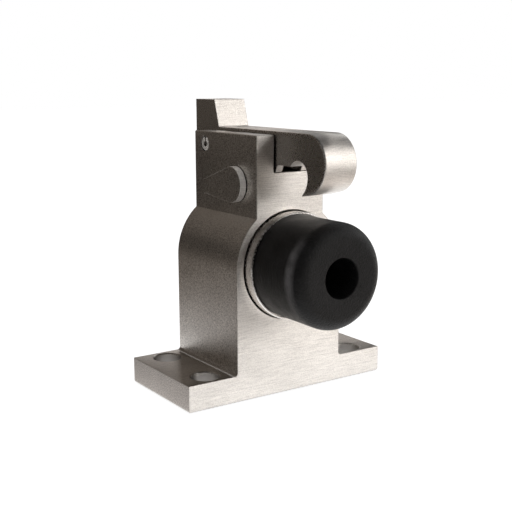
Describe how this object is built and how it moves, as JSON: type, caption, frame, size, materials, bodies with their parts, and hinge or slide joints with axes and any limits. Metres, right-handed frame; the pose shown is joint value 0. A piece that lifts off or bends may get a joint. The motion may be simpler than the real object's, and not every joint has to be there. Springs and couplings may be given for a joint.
{
  "type": "wall door stop with hook",
  "caption": "Door stop of satin steel: a block on a bolt-down flange with a sprung rubber buffer, a swinging hook lever above it and a teardrop lock lever on the side.",
  "frame": {"origin": "centre of the flange's underside, the face that bolts to the wall or floor", "axes": "+Z away from the mounting surface, -Y towards the door, X along the flange"},
  "size_m": [0.09, 0.0869, 0.1109],
  "materials": {
    "satin_steel": "satin",
    "turned_steel": "turned",
    "pin_steel": "ground",
    "spring_steel": "drawn wire",
    "black_rubber": "moulded, matt",
    "bush_bronze": "sintered",
    "nylon": "natural"
  },
  "bodies": {
    "housing": {"body": "satin_steel", "pivot_spring_pin": "pin_steel", "hook_return_spring": "spring_steel", "lock_washer": "pin_steel", "guide_bolt": "pin_steel", "bolt_washer": "nylon", "buffer_spring": "spring_steel"},
    "hook": {"hook_lever": "satin_steel"},
    "lock": {"lock_lever": "satin_steel", "lock_retaining_clip": "spring_steel"},
    "buffer": {"buffer_cup": "turned_steel", "buffer_bush": "bush_bronze", "rubber_buffer": "black_rubber"}
  },
  "joints": [
    {"name": "hook_hinge", "type": "hinge", "parent": "housing", "child": "hook", "pos_m": [0, 0.0143, 0.0941], "axis": [-1, 0, 0], "range_deg": [0, 30], "stiffness_Nm_per_rad": 0.1, "springref_deg": -45.84, "deforming": ["hook_return_spring"]},
    {"name": "lock_hinge", "type": "hinge", "parent": "housing", "child": "lock", "pos_m": [0, -0.0084, 0.0803], "axis": [1, 0, 0], "range_deg": [0, 90]},
    {"name": "buffer_slide", "type": "slide", "parent": "housing", "child": "buffer", "axis": [0, 1, 0], "range_m": [0, 0.008], "stiffness_N_per_m": 4000, "springref_m": -0.008, "deforming": ["buffer_spring"]}
  ]
}
